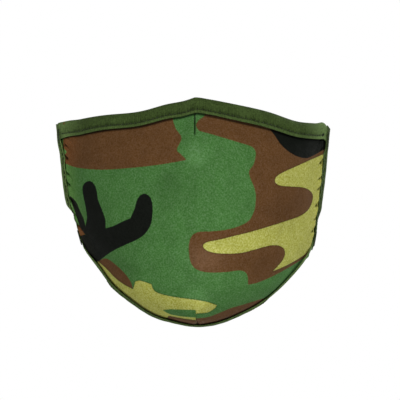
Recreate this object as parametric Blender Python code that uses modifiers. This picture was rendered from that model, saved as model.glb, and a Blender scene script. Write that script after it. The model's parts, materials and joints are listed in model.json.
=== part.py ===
"""Cloth face mask: a darted three-layer shell with taped edges, a nose wire and two elastic ear loops.

Frame: metres, X to the right, Y to the back, Z up. The outside of the mask faces -Y. The origin is the middle
of the plane through the two side edges, where the mask meets the wearer's face. Side edges lie in that plane.
"""

import math

import bpy
from mathutils import Vector

MM = 0.001

# Outline of the shell. SIDE points are the ends of a side edge, the profile runs along the centre line.
SIDE_BOTTOM = (67.3, 0.0, -18.0)
SIDE_TOP = (75.0, 0.0, 47.5)
CENTRE_PROFILE = (
    (0.00, -28.0, -62.5),
    (0.12, -44.0, -59.5),
    (0.28, -58.0, -45.0),
    (0.50, -65.0, -15.0),
    (0.70, -64.0, 15.0),
    (0.85, -56.0, 40.0),
    (1.00, -44.0, 62.5),
)
HALF_SWEEP = math.radians(72.0)  # turn of a cross-section from the centre line to a side edge
BOTTOM_EDGE_POWER = 2.0  # the lower edge is a parabola from the front
TOP_EDGE_POWER = 1.05  # the upper edge is nearly straight
NOSE_RIDGE = 3.0
NOSE_RIDGE_WIDTH = 9.0
NOSE_RIDGE_START = 0.75  # share of the height at which the ridge begins

# Layers, as distances inwards from the outer face of the outer panel.
GAP = 0.3
PANEL_THICKNESS = 0.7
FILTER_INNER, FILTER_OUTER = 1.5, 1.0
LINER_INNER, LINER_OUTER = 2.4, 1.8
FILTER_COLUMNS_OFF, FILTER_ROWS_OFF = 2, 3
EDGE_ROWS = (0.0, 4.0, 8.0)

# Binding tape.
TAPE_WIDTH = 8.0
TAPE_THICKNESS = 0.5
TAPE_OVERHANG = GAP + TAPE_THICKNESS / 2
TAPE_LIFT = TAPE_THICKNESS + GAP
TAPE_END_GAP = 0.5  # from the ends of the long tapes to the side edges
FOLD_FLAT_SHARE = 0.55  # share of the folded thickness that is flat at the fold
LIFT_LENGTH = 9.5
LIFT_RAMP = 5.0

# Nose wire, between panel and liner under the top tape.
WIRE_COLUMNS = 8  # columns of the shell's grid that the wire covers on each side of the nose
WIRE_WIDTH = 4.0
WIRE_FROM_EDGE = 2.5
WIRE_THICKNESS = 0.5

# Ear loops: flat elastic in the plane of the side edges.
LOOP_WIDTH = 8.0
LOOP_THICKNESS = 1.5
LOOP_BACK = 3.3  # middle of the elastic behind the plane of the side edges
LOOP_DEPTH = 58.0
LOOP_CORNER = 15.0
LOOP_CORNER_STEPS = 7
LOOP_STRAIGHT_STEPS = 4
LOOP_TOP_FROM_CORNER = 6.5
LOOP_BOTTOM_FROM_CORNER = 6.0
LOOP_HINGE_INSET = 2.6

# Thread.
STITCH_WIDTH = 0.5
STITCH_THICKNESS = 0.35
STITCH_EDGES = (6.1, 6.1 + STITCH_WIDTH)  # distances from the edge of the mask
STITCH_FOOT = -(GAP + TAPE_THICKNESS + GAP)
STITCH_COLUMNS_OFF = 2
SIDE_STITCH_ROWS = 6
DART_SHARES = (0.1, 0.4, 0.7, 1.0)  # places of the dart's points between two rows of the shell's grid
BARTACK_LENGTH = 7.0
BARTACK_EDGES = (3.0, 5.0)

# Grid of the shell.
COLUMNS = 32
MIDDLE_ROWS = 11
SIDE_TAPE_ROWS = 14
CURVE_STEPS = 200  # straight steps by which a curve's length is measured

COLOURS = {
    "outer_panel": (0.062, 0.150, 0.044),
    "filter": (0.70, 0.70, 0.68),
    "liner": (0.050, 0.062, 0.034),
    "binding": (0.060, 0.085, 0.028),
    "thread": (0.030, 0.042, 0.016),
    "nose_wire": (0.60, 0.61, 0.62),
    "ear_loop": (0.045, 0.060, 0.026),
}
ROUGHNESS = {"nose_wire": 0.35}
METALLIC = {"nose_wire": 1.0}


def smooth(t):
    """Smooth step from 0 to 1."""
    t = min(max(t, 0.0), 1.0)
    return t * t * (3.0 - 2.0 * t)


def profile(v):
    """Depth and height of the centre line at v, from 0 at the chin to 1 at the nose, as a smooth curve."""
    knots = CENTRE_PROFILE
    last = len(knots) - 1
    i = max(k for k in range(last) if knots[k][0] <= v or k == 0)
    slopes = []
    for k in (i, i + 1):
        before, after = knots[max(k - 1, 0)], knots[min(k + 1, last)]
        span = after[0] - before[0]
        slopes.append(((after[1] - before[1]) / span, (after[2] - before[2]) / span))
    start, end = knots[i], knots[i + 1]
    span = end[0] - start[0]
    t = (v - start[0]) / span
    h0, h1 = 2 * t**3 - 3 * t**2 + 1, 3 * t**2 - 2 * t**3
    g0, g1 = t**3 - 2 * t**2 + t, t**3 - t**2
    return tuple(
        h0 * start[c] + h1 * end[c] + span * (g0 * slopes[0][c - 1] + g1 * slopes[1][c - 1])
        for c in (1, 2)
    )


def base(u, v):
    """Point of the outer face: u runs from -1 to 1 across, v from 0 to 1 upwards."""
    turn = u * HALF_SWEEP
    across = math.sin(turn) / math.sin(HALF_SWEEP)
    depth = (math.cos(turn) - math.cos(HALF_SWEEP)) / (1.0 - math.cos(HALF_SWEEP))
    side_x, side_y, side_z = (a + (b - a) * v for a, b in zip(SIDE_BOTTOM, SIDE_TOP))
    centre_y, centre_z = profile(v)
    power = BOTTOM_EDGE_POWER + (TOP_EDGE_POWER - BOTTOM_EDGE_POWER) * smooth(v)
    x = side_x * across
    y = side_y + (centre_y - side_y) * depth
    z = centre_z + (side_z - centre_z) * abs(across) ** power
    ridge = smooth((v - NOSE_RIDGE_START) / (1.0 - NOSE_RIDGE_START))
    y -= NOSE_RIDGE * math.exp(-abs(x) / NOSE_RIDGE_WIDTH) * ridge
    return Vector((x, y, z))


def normal(u, v):
    """Unit direction from the outer face towards the wearer."""
    step = 0.02
    if abs(u) < step:  # the ridge makes a crease on the centre line
        along_u = base(step, v) - base(-step, v)
    else:
        along_u = base(u + step / 2, v) - base(u - step / 2, v)
    along_v = base(u, min(v + step, 1.0)) - base(u, max(v - step, 0.0))
    return along_v.cross(along_u).normalized()


def along(curve, wanted):
    """Parameter in 0..1 at which a curve has run the wanted length."""
    run, here = 0.0, curve(0)
    for i in range(1, CURVE_STEPS + 1):
        there = curve(i / CURVE_STEPS)
        piece = (there - here).length
        if run + piece >= wanted:
            return (i - 1 + (wanted - run) / piece) / CURVE_STEPS
        run, here = run + piece, there
    return 1.0


def length(curve):
    """Length of a curve over its parameter 0..1."""
    points = [curve(i / CURVE_STEPS) for i in range(CURVE_STEPS + 1)]
    return sum((b - a).length for a, b in zip(points, points[1:]))


def up_from(u, distance, top=False):
    """v of the point at a distance from the lower or upper edge, measured along column u."""
    if top:
        return 1.0 - along(lambda t: base(u, 1.0 - t), distance)
    return along(lambda t: base(u, t), distance)


def in_from(v, distance):
    """u of the point at a distance from the right side edge, measured along row v."""
    return 1.0 - along(lambda t: base(1.0 - t, v), distance)


def at(u, v, inwards):
    """Point at a distance inwards from the outer face."""
    return base(u, v) + normal(u, v) * inwards


def past_edge(edge, inside, inwards, overhang):
    """Point beyond an edge of the shell: edge and inside are (u, v) of the edge and of a point next to it."""
    outwards = (base(*edge) - base(*inside)).normalized()
    return at(*edge, inwards) + outwards * overhang


def column_rows(u):
    """v values of one column of the shell: close rows under the tapes and even ones between them."""
    low = [up_from(u, distance) for distance in EDGE_ROWS]
    high = [up_from(u, distance, top=True) for distance in reversed(EDGE_ROWS)]
    start, end = low[-1], high[0]

    def between(t):
        """Point of the column between the two taped edges."""
        return base(u, start + (end - start) * t)

    run = length(between)
    middle = []
    for k in range(1, MIDDLE_ROWS):
        middle.append(start + (end - start) * along(between, run * k / MIDDLE_ROWS))
    return low + middle + high


def make_material(name):
    """Principled material of one slot."""
    material = bpy.data.materials.get(name)
    if material is None:
        material = bpy.data.materials.new(name)
        material.use_nodes = True
        shader = material.node_tree.nodes["Principled BSDF"]
        shader.inputs["Base Color"].default_value = (*COLOURS[name], 1.0)
        shader.inputs["Roughness"].default_value = ROUGHNESS.get(name, 0.9)
        shader.inputs["Metallic"].default_value = METALLIC.get(name, 0.0)
    return material


def add_object(name, points, faces, slot, origin=(0.0, 0.0, 0.0)):
    """Object of one sub-part from points in millimetres, placed at an origin in millimetres."""
    here = Vector(origin)
    mesh = bpy.data.meshes.new(name)
    mesh.from_pydata([(Vector(p) - here) * MM for p in points], [], faces)
    mesh.materials.append(make_material(slot))
    mesh.shade_smooth()
    mesh.set_sharp_from_angle(angle=math.radians(40.0))
    thing = bpy.data.objects.new(name, mesh)
    thing.location = here * MM
    parts.objects.link(thing)
    return thing


def grid_faces(rows, columns, flip=False):
    """Quads of a grid whose points are listed row by row."""
    faces = []
    for r in range(rows - 1):
        for c in range(columns - 1):
            a = r * columns + c
            face = (a, a + 1, a + columns + 1, a + columns)
            faces.append(face[::-1] if flip else face)
    return faces


def solidify(thing, thickness, offset):
    """Thickness for an open surface; offset -1 grows it against its faces' direction."""
    shell = thing.modifiers.new("thickness", "SOLIDIFY")
    shell.thickness = thickness * MM
    shell.offset = offset
    shell.use_even_offset = False
    shell.use_rim = True


def shell_column(c):
    """u of a column of the shell's grid."""
    return 2.0 * c / COLUMNS - 1.0


def add_layer(name, slot, outer, inner, columns_off=0, rows_off=0):
    """One cloth layer of the shell, from its outer face to its inner one, with the grid's edges left off."""
    columns = []
    for c in range(columns_off, COLUMNS + 1 - columns_off):
        u = shell_column(c)
        heights = column_rows(u)
        columns.append([at(u, v, outer) for v in heights[rows_off : len(heights) - rows_off]])
    rows = len(columns[0])
    points = [column[r] for r in range(rows) for column in columns]
    layer = add_object(name, points, grid_faces(rows, len(columns)), slot)
    solidify(layer, inner - outer, -1.0)
    return layer


def tape_section(front, back):
    """Section of a folded tape: distance from the edge and distance inwards of each point."""
    middle = (front + back) / 2
    fold = (back - front) / 2 * FOLD_FLAT_SHARE
    return (
        (TAPE_WIDTH, front),
        (TAPE_WIDTH / 2, front),
        (0.0, front),
        (-TAPE_OVERHANG, middle - fold),
        (-TAPE_OVERHANG, middle + fold),
        (0.0, back),
        (TAPE_WIDTH / 2, back),
        (TAPE_WIDTH, back),
    )


TAPE_FRONT = -(GAP + TAPE_THICKNESS / 2)
TAPE_BACK = LINER_INNER + GAP + TAPE_THICKNESS / 2


def add_long_tape(name, top):
    """Tape folded over the upper or the lower edge."""
    edge_v = 1.0 if top else 0.0
    sections = []
    for c in range(COLUMNS + 1):
        end = in_from(edge_v, TAPE_END_GAP)
        u = min(max(shell_column(c), -end), end)
        near = up_from(u, 1.0, top)
        section = []
        for distance, inwards in tape_section(TAPE_FRONT, TAPE_BACK):
            if distance < 0:
                section.append(past_edge((u, edge_v), (u, near), inwards, -distance))
            else:
                section.append(at(u, up_from(u, distance, top), inwards))
        sections.append(section)
    rows = len(sections[0])
    points = [section[r] for r in range(rows) for section in sections]
    tape = add_object(name, points, grid_faces(rows, len(sections), flip=top), "binding")
    solidify(tape, TAPE_THICKNESS, 0.0)
    return tape


def side_lift(v):
    """Extra height of a side tape where it crosses the end of the upper or lower tape."""
    span = length(lambda t: base(1.0, t))
    from_end = min(v, 1.0 - v) * span
    return TAPE_LIFT * (1.0 - smooth((from_end - LIFT_LENGTH) / LIFT_RAMP))


def mirrored(points, side):
    """Points of the right side, or their mirror image for the left side."""
    return [Vector((side * p.x, p.y, p.z)) for p in points]


def add_side_tape(name, side):
    """Tape folded over a gathered side edge and over the ends of the two long tapes."""
    sections = []
    for r in range(SIDE_TAPE_ROWS + 1):
        v = r / SIDE_TAPE_ROWS
        lift = side_lift(v)
        near = (in_from(v, 1.0), v)
        section = []
        for distance, inwards in tape_section(TAPE_FRONT - lift, TAPE_BACK + lift):
            if distance < 0:
                section.append(past_edge((1.0, v), near, inwards, -distance))
            else:
                section.append(at(in_from(v, distance), v, inwards))
        sections.append(section)
    points = mirrored([p for section in sections for p in section], side)
    faces = grid_faces(len(sections), len(sections[0]), flip=side < 0)
    tape = add_object(name, points, faces, "binding")
    solidify(tape, TAPE_THICKNESS, 0.0)
    return tape


def add_nose_wire():
    """Flat soft wire that follows the upper edge over the nose."""
    middle = COLUMNS // 2
    columns = range(middle - WIRE_COLUMNS, middle + WIRE_COLUMNS + 1)
    points = []
    for distance in (WIRE_FROM_EDGE, EDGE_ROWS[1], WIRE_FROM_EDGE + WIRE_WIDTH):
        for c in columns:
            u = shell_column(c)
            points.append(at(u, up_from(u, distance, top=True), FILTER_OUTER))
    wire = add_object("nose_wire", points, grid_faces(3, len(columns), flip=True), "nose_wire")
    solidify(wire, WIRE_THICKNESS, -1.0)
    return wire


def add_thread(name, pairs):
    """Raised line of thread. Each pair holds the two edges of the line's foot at one place along it."""
    edges = [first for first, _ in pairs] + [second for _, second in pairs]
    across = (pairs[0][1] - pairs[0][0]).cross(pairs[1][0] - pairs[0][0])
    faces = grid_faces(2, len(pairs), flip=across.dot(pairs[0][0]) > 0)
    thread = add_object(name, edges, faces, "thread")
    solidify(thread, STITCH_THICKNESS, 1.0)
    return thread


def add_long_tape_stitching(name, top):
    """Thread along the upper or lower tape, near its free edge."""
    pairs = []
    for c in range(STITCH_COLUMNS_OFF, COLUMNS + 1 - STITCH_COLUMNS_OFF):
        u = shell_column(c)
        pairs.append([at(u, up_from(u, d, top), STITCH_FOOT) for d in STITCH_EDGES])
    return add_thread(name, pairs)


def add_side_stitching(name, side):
    """Thread along a side tape, between its two raised ends."""
    span = length(lambda t: base(1.0, t))
    clear = (LIFT_LENGTH + LIFT_RAMP) / span
    pairs = []
    for k in range(SIDE_STITCH_ROWS + 1):
        v = clear + (1.0 - 2.0 * clear) * k / SIDE_STITCH_ROWS
        pairs.append(mirrored([at(in_from(v, d), v, STITCH_FOOT) for d in STITCH_EDGES], side))
    return add_thread(name, pairs)


def add_dart(name, top):
    """Sewn ridge on the centre line, along the shell's first row next to the upper or lower tape."""
    rows = column_rows(0.0)
    edge_row, next_row = (rows[-3], rows[-4]) if top else (rows[2], rows[3])
    near, far = (at(0.0, v, -2 * GAP) for v in (edge_row, next_row))
    half = Vector((STITCH_WIDTH / 2, 0.0, 0.0))
    pairs = []
    for share in DART_SHARES:
        middle = near.lerp(far, share)
        pairs.append((middle - half, middle + half))
    return add_thread(name, pairs)


def hinge_ends():
    """Places on the right side where the middle of the elastic's two ends is sewn on."""
    low, high = Vector(SIDE_BOTTOM), Vector(SIDE_TOP)
    up = (high - low).normalized()
    inwards = Vector((-up.z, 0.0, up.x))
    back = Vector((0.0, LOOP_BACK, 0.0))
    top = high - up * LOOP_TOP_FROM_CORNER + inwards * LOOP_HINGE_INSET + back
    bottom = low + up * LOOP_BOTTOM_FROM_CORNER + inwards * LOOP_HINGE_INSET + back
    return top, bottom, inwards


def loop_route():
    """Middle line of the right ear loop with the sideways direction at each point, from top to bottom."""
    top, bottom, inwards = hinge_ends()
    up = (top - bottom).normalized()
    run = (top - bottom).length
    straight = LOOP_DEPTH - LOOP_CORNER
    route = []

    def add(depth, height, angle):
        """Point at a depth and height, where the elastic has turned by an angle from its start."""
        sideways = inwards * math.sin(angle) + up * math.cos(angle)
        route.append((bottom + inwards * depth + up * height, sideways))

    def add_corner(height, first_angle):
        """Quarter turn about a centre at a height."""
        for k in range(1, LOOP_CORNER_STEPS):
            angle = first_angle + math.pi / 2 * k / LOOP_CORNER_STEPS
            add(straight + LOOP_CORNER * math.sin(angle), height + LOOP_CORNER * math.cos(angle), angle)

    for k in range(LOOP_STRAIGHT_STEPS + 1):
        add(straight * k / LOOP_STRAIGHT_STEPS, run, 0.0)
    add_corner(run - LOOP_CORNER, 0.0)
    add(LOOP_DEPTH, run - LOOP_CORNER, math.pi / 2)
    add(LOOP_DEPTH, LOOP_CORNER, math.pi / 2)
    add_corner(LOOP_CORNER, math.pi / 2)
    for k in range(LOOP_STRAIGHT_STEPS + 1):
        add(straight * (1 - k / LOOP_STRAIGHT_STEPS), 0.0, math.pi)
    return route


def add_ear_loop(name, side):
    """Flat elastic loop, with its origin on the line about which it swings."""
    top = hinge_ends()[0]
    outer, inner = [], []
    for middle, sideways in loop_route():
        outer.append(middle + sideways * LOOP_WIDTH / 2)
        inner.append(middle - sideways * LOOP_WIDTH / 2)
    points = mirrored(outer + inner, side)
    origin = mirrored([top], side)[0]
    faces = grid_faces(2, len(outer), flip=side < 0)
    loop = add_object(name, points, faces, "ear_loop", origin)
    solidify(loop, LOOP_THICKNESS, 0.0)
    return loop


def add_bartack(name, side, top):
    """Dense patch of thread on the outside of the side tape, over one end of an ear loop."""
    span = length(lambda t: base(1.0, t))
    centre = span - LOOP_TOP_FROM_CORNER if top else LOOP_BOTTOM_FROM_CORNER
    pairs = []
    for end in (-1, 1):
        v = (centre + end * BARTACK_LENGTH / 2) / span
        foot = STITCH_FOOT - TAPE_LIFT
        pairs.append(mirrored([at(in_from(v, d), v, foot) for d in BARTACK_EDGES], side))
    return add_thread(name, pairs)


for old in list(bpy.data.objects):
    bpy.data.objects.remove(old)

parts = bpy.data.collections.new("camo_face_mask")
bpy.context.scene.collection.children.link(parts)

add_layer("outer_panel", "outer_panel", 0.0, PANEL_THICKNESS)
add_layer("filter_layer", "filter", FILTER_OUTER, FILTER_INNER, FILTER_COLUMNS_OFF, FILTER_ROWS_OFF)
add_layer("inner_liner", "liner", LINER_OUTER, LINER_INNER)
add_long_tape("top_binding", True)
add_long_tape("bottom_binding", False)
add_nose_wire()
add_long_tape_stitching("top_binding_stitching", True)
add_long_tape_stitching("bottom_binding_stitching", False)
add_dart("nose_dart_stitching", True)
add_dart("chin_dart_stitching", False)
for side_name, side_sign in (("left", -1), ("right", 1)):
    add_side_tape(side_name + "_side_binding", side_sign)
    add_side_stitching(side_name + "_side_stitching", side_sign)
    add_ear_loop(side_name + "_ear_loop", side_sign)
    add_bartack(side_name + "_upper_bartack", side_sign, True)
    add_bartack(side_name + "_lower_bartack", side_sign, False)
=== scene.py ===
"""Looks of the camouflage face mask: printed knit panel, tapes, stitches, lining and elastic ear loops.

Lengths are in millimetres until a mesh is made, in the frame's axes: X right, Y back, Z up.
"""

import json
import math

import bpy
import numpy as np
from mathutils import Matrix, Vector


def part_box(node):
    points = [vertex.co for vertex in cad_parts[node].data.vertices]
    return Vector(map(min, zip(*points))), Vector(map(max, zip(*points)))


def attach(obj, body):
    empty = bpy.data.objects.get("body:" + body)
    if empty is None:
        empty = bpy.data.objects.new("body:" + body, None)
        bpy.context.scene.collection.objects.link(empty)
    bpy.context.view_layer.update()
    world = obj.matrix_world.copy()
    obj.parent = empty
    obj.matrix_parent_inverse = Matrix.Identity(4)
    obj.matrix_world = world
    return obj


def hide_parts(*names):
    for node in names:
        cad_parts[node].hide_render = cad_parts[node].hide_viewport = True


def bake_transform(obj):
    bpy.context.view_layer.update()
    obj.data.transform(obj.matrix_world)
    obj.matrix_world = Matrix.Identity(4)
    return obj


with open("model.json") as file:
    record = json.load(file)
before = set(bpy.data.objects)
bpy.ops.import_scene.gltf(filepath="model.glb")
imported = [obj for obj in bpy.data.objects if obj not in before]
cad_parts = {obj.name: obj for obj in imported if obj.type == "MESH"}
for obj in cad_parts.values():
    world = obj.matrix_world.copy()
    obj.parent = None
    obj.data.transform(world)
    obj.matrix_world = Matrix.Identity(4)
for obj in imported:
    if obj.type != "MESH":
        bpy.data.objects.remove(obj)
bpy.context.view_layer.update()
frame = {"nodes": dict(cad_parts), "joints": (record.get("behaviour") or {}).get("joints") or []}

MM = 0.001


# ---- shape of the shell, worked out from the frame

def node_box(node):
    """Lowest and highest corner of a node, in millimetres."""
    low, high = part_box(node)
    return np.array(low) / MM, np.array(high) / MM


HALF_WIDTH = node_box("outer_panel")[1][0]
CHIN_Z = -62.5
NOSE_Z = 62.5
SIDE_BOTTOM = np.array((HALF_WIDTH - 7.7, 0.0, -18.0))
SIDE_TOP = np.array((HALF_WIDTH, 0.0, 47.5))
CENTRE_PROFILE = np.array((  # share of the height, depth, height
    (0.00, -28.0, CHIN_Z),
    (0.12, -44.0, -59.5),
    (0.28, -58.0, -45.0),
    (0.50, -65.0, -15.0),
    (0.70, -64.0, 15.0),
    (0.85, -56.0, 40.0),
    (1.00, -44.0, NOSE_Z),
))
HALF_SWEEP = math.radians(72.0)
BOTTOM_EDGE_POWER = 2.0
TOP_EDGE_POWER = 1.05
NOSE_RIDGE = 3.0
NOSE_RIDGE_WIDTH = 9.0
NOSE_RIDGE_START = 0.75

# Layers, as distances inwards from the outer face of the panel.
PANEL_THICKNESS = 0.7
FILTER_OUTER, FILTER_INNER = 1.0, 1.5
LINER_OUTER, LINER_INNER = 1.8, 2.4
TAPE_WIDTH = 8.2
TAPE_THICKNESS = 0.5
TAPE_FRONT = -0.55
TAPE_BACK = LINER_INNER + 0.55
TAPE_DEPTH = TAPE_BACK - TAPE_FRONT + TAPE_THICKNESS - 0.04
TAPE_OVERHANG = 0.6
TAPE_LIFT = 0.4
LIFT_LENGTH = 9.0
LIFT_RAMP = 9.0
LIP_ROWS = 22
TAPE_RIB = 1.1

# Ear loops.
LOOP_LOW, LOOP_HIGH = node_box("right_ear_loop")
LOOP_WIDTH = 8.0
LOOP_THICKNESS = LOOP_HIGH[1] - LOOP_LOW[1]
LOOP_DEPTH = 58.0
LOOP_CORNER = 15.0
ELASTIC_RIB = 1.33
BACKWARDS = np.array((0.0, 1.0, 0.0))
HINGES = {joint["child"]: joint for joint in frame["joints"]}


def smooth(t):
    """Smooth step from 0 to 1."""
    t = np.clip(t, 0.0, 1.0)
    return t * t * (3.0 - 2.0 * t)


def rising(distance, start, length):
    """Smooth step from 0 to 1 that begins at a distance and takes a length."""
    return smooth((distance - start) / length)


def bump(distance, width):
    """Bell of height 1 and the given half width."""
    return np.exp(-((distance / width) ** 2))


def unit(vectors):
    """Vectors made one unit long."""
    return vectors / np.linalg.norm(vectors, axis=-1, keepdims=True)


def hermite(t, start, end, leaving, arriving):
    """Point at t on a cubic between two points, with its directions at both."""
    from_ends = (2 * t**3 - 3 * t**2 + 1) * start + (3 * t**2 - 2 * t**3) * end
    return from_ends + (t**3 - 2 * t**2 + t) * leaving + (t**3 - t**2) * arriving


def profile(v):
    """Depth and height of the centre line at each v."""
    knots = CENTRE_PROFILE
    last = len(knots) - 1
    before = knots[np.maximum(np.arange(last + 1) - 1, 0)]
    after = knots[np.minimum(np.arange(last + 1) + 1, last)]
    slopes = (after[:, 1:] - before[:, 1:]) / (after[:, :1] - before[:, :1])
    i = np.clip(np.searchsorted(knots[:, 0], v, side="right") - 1, 0, last - 1)
    span = (knots[i + 1, 0] - knots[i, 0])[..., None]
    t = (v - knots[i, 0])[..., None] / span
    curve = hermite(t, knots[i, 1:], knots[i + 1, 1:], span * slopes[i], span * slopes[i + 1])
    return curve[..., 0], curve[..., 1]


def settled(points):
    """Points of the worn mask: its upper edge sags, its lower corners curl in, its corner at +X droops."""
    x, y, z = points[..., 0], points[..., 1], points[..., 2]
    upper = rising(z, 22.0, 26.0)
    sag = 2.7 * bump(x + 29.0, 17.0) + 1.3 * bump(x + 6.0, 8.0) + 2.1 * bump(x - 56.0, 12.0)
    sag = sag + 0.4 * smooth(x / 8.0)
    droop = rising(x, 71.5, 4.5) * rising(z, 36.0, 9.0)
    drawn_in = rising(-x, 34.0, 32.0) * smooth((12.0 - z) / 28.0)
    flank = np.clip((y + 13.0) / 13.0, 0.0, 1.0) ** 2
    curl_left = flank * smooth((5.0 - z) / 7.0) * (x < 0)
    curl_right = flank * smooth((3.0 - z) / 9.0) * (x > 0)
    chin = smooth((-40.0 - z) / 16.0)
    moved = points.copy()
    moved[..., 0] += 0.8 * rising(-x, 55.0, 14.0)
    moved[..., 0] -= 0.7 * rising(x, 60.0, 10.0) * rising(z, 26.0, 12.0)
    moved[..., 0] += 2.4 * drawn_in + 4.5 * curl_left - 2.4 * curl_right
    moved[..., 0] += 3.0 * bump(x + 55.0, 13.0) * bump(z + 29.0, 13.0)
    moved[..., 2] += 1.0 * drawn_in - 2.6 * droop - sag * upper + 0.6 * rising(-x, 62.0, 8.0) * upper
    moved[..., 2] += 1.1 * bump(x - 73.0, 3.0) * rising(z, 40.0, 6.0)
    moved[..., 2] += 0.7 * chin + 2.3 * bump(x + 39.0, 13.0) * smooth((-26.0 - z) / 14.0)
    moved[..., 2] += (0.4 + 0.9 * bump(x + 12.0, 9.0)) * smooth((-50.0 - z) / 8.0)
    return moved


def surface(u, v):
    """Points of the panel's outer face: u from -1 to 1 across, v from 0 to 1 upwards."""
    turn = u * HALF_SWEEP
    across = np.sin(turn) / math.sin(HALF_SWEEP)
    depth = (np.cos(turn) - math.cos(HALF_SWEEP)) / (1.0 - math.cos(HALF_SWEEP))
    side = SIDE_BOTTOM + (SIDE_TOP - SIDE_BOTTOM) * v[..., None]
    centre_y, centre_z = profile(v)
    power = BOTTOM_EDGE_POWER + (TOP_EDGE_POWER - BOTTOM_EDGE_POWER) * smooth(v)
    x = side[..., 0] * across
    ridge = NOSE_RIDGE * np.exp(-np.abs(x) / NOSE_RIDGE_WIDTH)
    y = centre_y * depth - ridge * rising(v, NOSE_RIDGE_START, 1.0 - NOSE_RIDGE_START)
    z = centre_z + (side[..., 2] - centre_z) * np.abs(across) ** power
    return settled(np.stack((x, y, z), axis=-1))


def normals(u, v):
    """Unit directions from the outer face towards the wearer."""
    step = 0.012
    near = np.abs(u) < step
    u_high = np.where(near, step, u + step / 2)
    u_low = np.where(near, -step, u - step / 2)
    along_u = surface(np.minimum(u_high, 1.0), v) - surface(np.maximum(u_low, -1.0), v)
    along_v = surface(u, np.minimum(v + step, 1.0)) - surface(u, np.maximum(v - step, 0.0))
    return unit(np.cross(along_v, along_u))


def side_edge(v, side):
    """Points of a side edge: side is -1 or 1."""
    return surface(np.full(v.shape, float(side)), v)


def run_of(points, axis):
    """Length run along an axis of a grid of points, from its first row or column."""
    steps = np.linalg.norm(np.diff(points, axis=axis), axis=-1)
    start = np.zeros_like(np.take(steps, [0], axis=axis))
    return np.concatenate((start, np.cumsum(steps, axis=axis)), axis=axis)


TABLE = np.linspace(0.0, 1.0, 241)


def where_run_is(distance, runs, table, shape):
    """Value of a table where the run beside it reaches a distance, for each point of a shape."""
    wanted = np.broadcast_to(distance, shape).ravel()
    rows = zip(wanted, runs.reshape(-1, TABLE.size), table.reshape(-1, TABLE.size))
    return np.array([np.interp(*row) for row in rows]).reshape(shape)


def heights_at(u, distance, top):
    """v at a distance from the lower or upper edge, for each u."""
    u = np.asarray(u, float)
    table = np.broadcast_to(TABLE[::-1] if top else TABLE, u.shape + TABLE.shape)
    runs = run_of(surface(np.broadcast_to(u[..., None], table.shape), table), axis=u.ndim)
    return where_run_is(distance, runs, table, u.shape)


def insets_at(v, distance, side):
    """u at a distance from a side edge, for each v."""
    v = np.asarray(v, float)
    table = np.broadcast_to(side * (1.0 - TABLE), v.shape + TABLE.shape)
    runs = run_of(surface(table, np.broadcast_to(v[..., None], table.shape)), axis=v.ndim)
    return where_run_is(distance, runs, table, v.shape)


# ---- meshes

def grid_faces(rows, columns, closed=False):
    """Quads of a grid of points listed row by row; a closed grid joins its last column to its first."""
    r, c = np.meshgrid(np.arange(rows - 1), np.arange(columns if closed else columns - 1), indexing="ij")
    nxt = (c + 1) % columns
    near, far = r * columns, (r + 1) * columns
    return np.stack((near + c, near + nxt, far + nxt, far + c), -1).reshape(-1, 4)


def tube_faces(rings, around, first=0, flipped=False):
    """Faces of a tube and its two end caps, from the number of its first point."""
    ring = np.arange(around)
    faces = grid_faces(rings, around, closed=True).tolist()
    faces += [ring[::-1].tolist(), ((rings - 1) * around + ring).tolist()]
    return [[first + k for k in (face[::-1] if flipped else face)] for face in faces]


def make_object(name, points, faces, body, node, material):
    """Object from points in millimetres that stands for a CAD node, and rides on a body if one is given."""
    mesh = bpy.data.meshes.new(name)
    faces = faces.tolist() if isinstance(faces, np.ndarray) else faces
    mesh.from_pydata((points.reshape(-1, 3) * MM).tolist(), [], faces)
    mesh.materials.append(material)
    mesh.shade_smooth()
    thing = bpy.data.objects.new(name, mesh)
    bpy.context.scene.collection.objects.link(thing)
    if body:
        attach(thing, body)
    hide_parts(node)
    return thing


def add_field(thing, name, values):
    """Number on every vertex, for the material to read."""
    field = thing.data.attributes.new(name, "FLOAT", "POINT")
    field.data.foreach_set("value", np.asarray(values, np.float32).ravel())


def add_cloth_coordinates(thing, along, across):
    """Place of every vertex on the flat cloth, in millimetres, for weaves and knits."""
    field = thing.data.attributes.new("cloth", "FLOAT_VECTOR", "POINT")
    along, across = np.broadcast_arrays(along, across)
    values = np.stack((along, across, np.zeros_like(along)), -1)
    field.data.foreach_set("vector", np.asarray(values, np.float32).ravel())


def thicken(thing, thickness, offset):
    """Cloth thickness for an open surface, with a rim."""
    shell = thing.modifiers.new("thickness", "SOLIDIFY")
    shell.thickness = thickness * MM
    shell.offset = offset
    shell.use_even_offset = False
    shell.use_rim = True


# ---- materials

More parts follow.
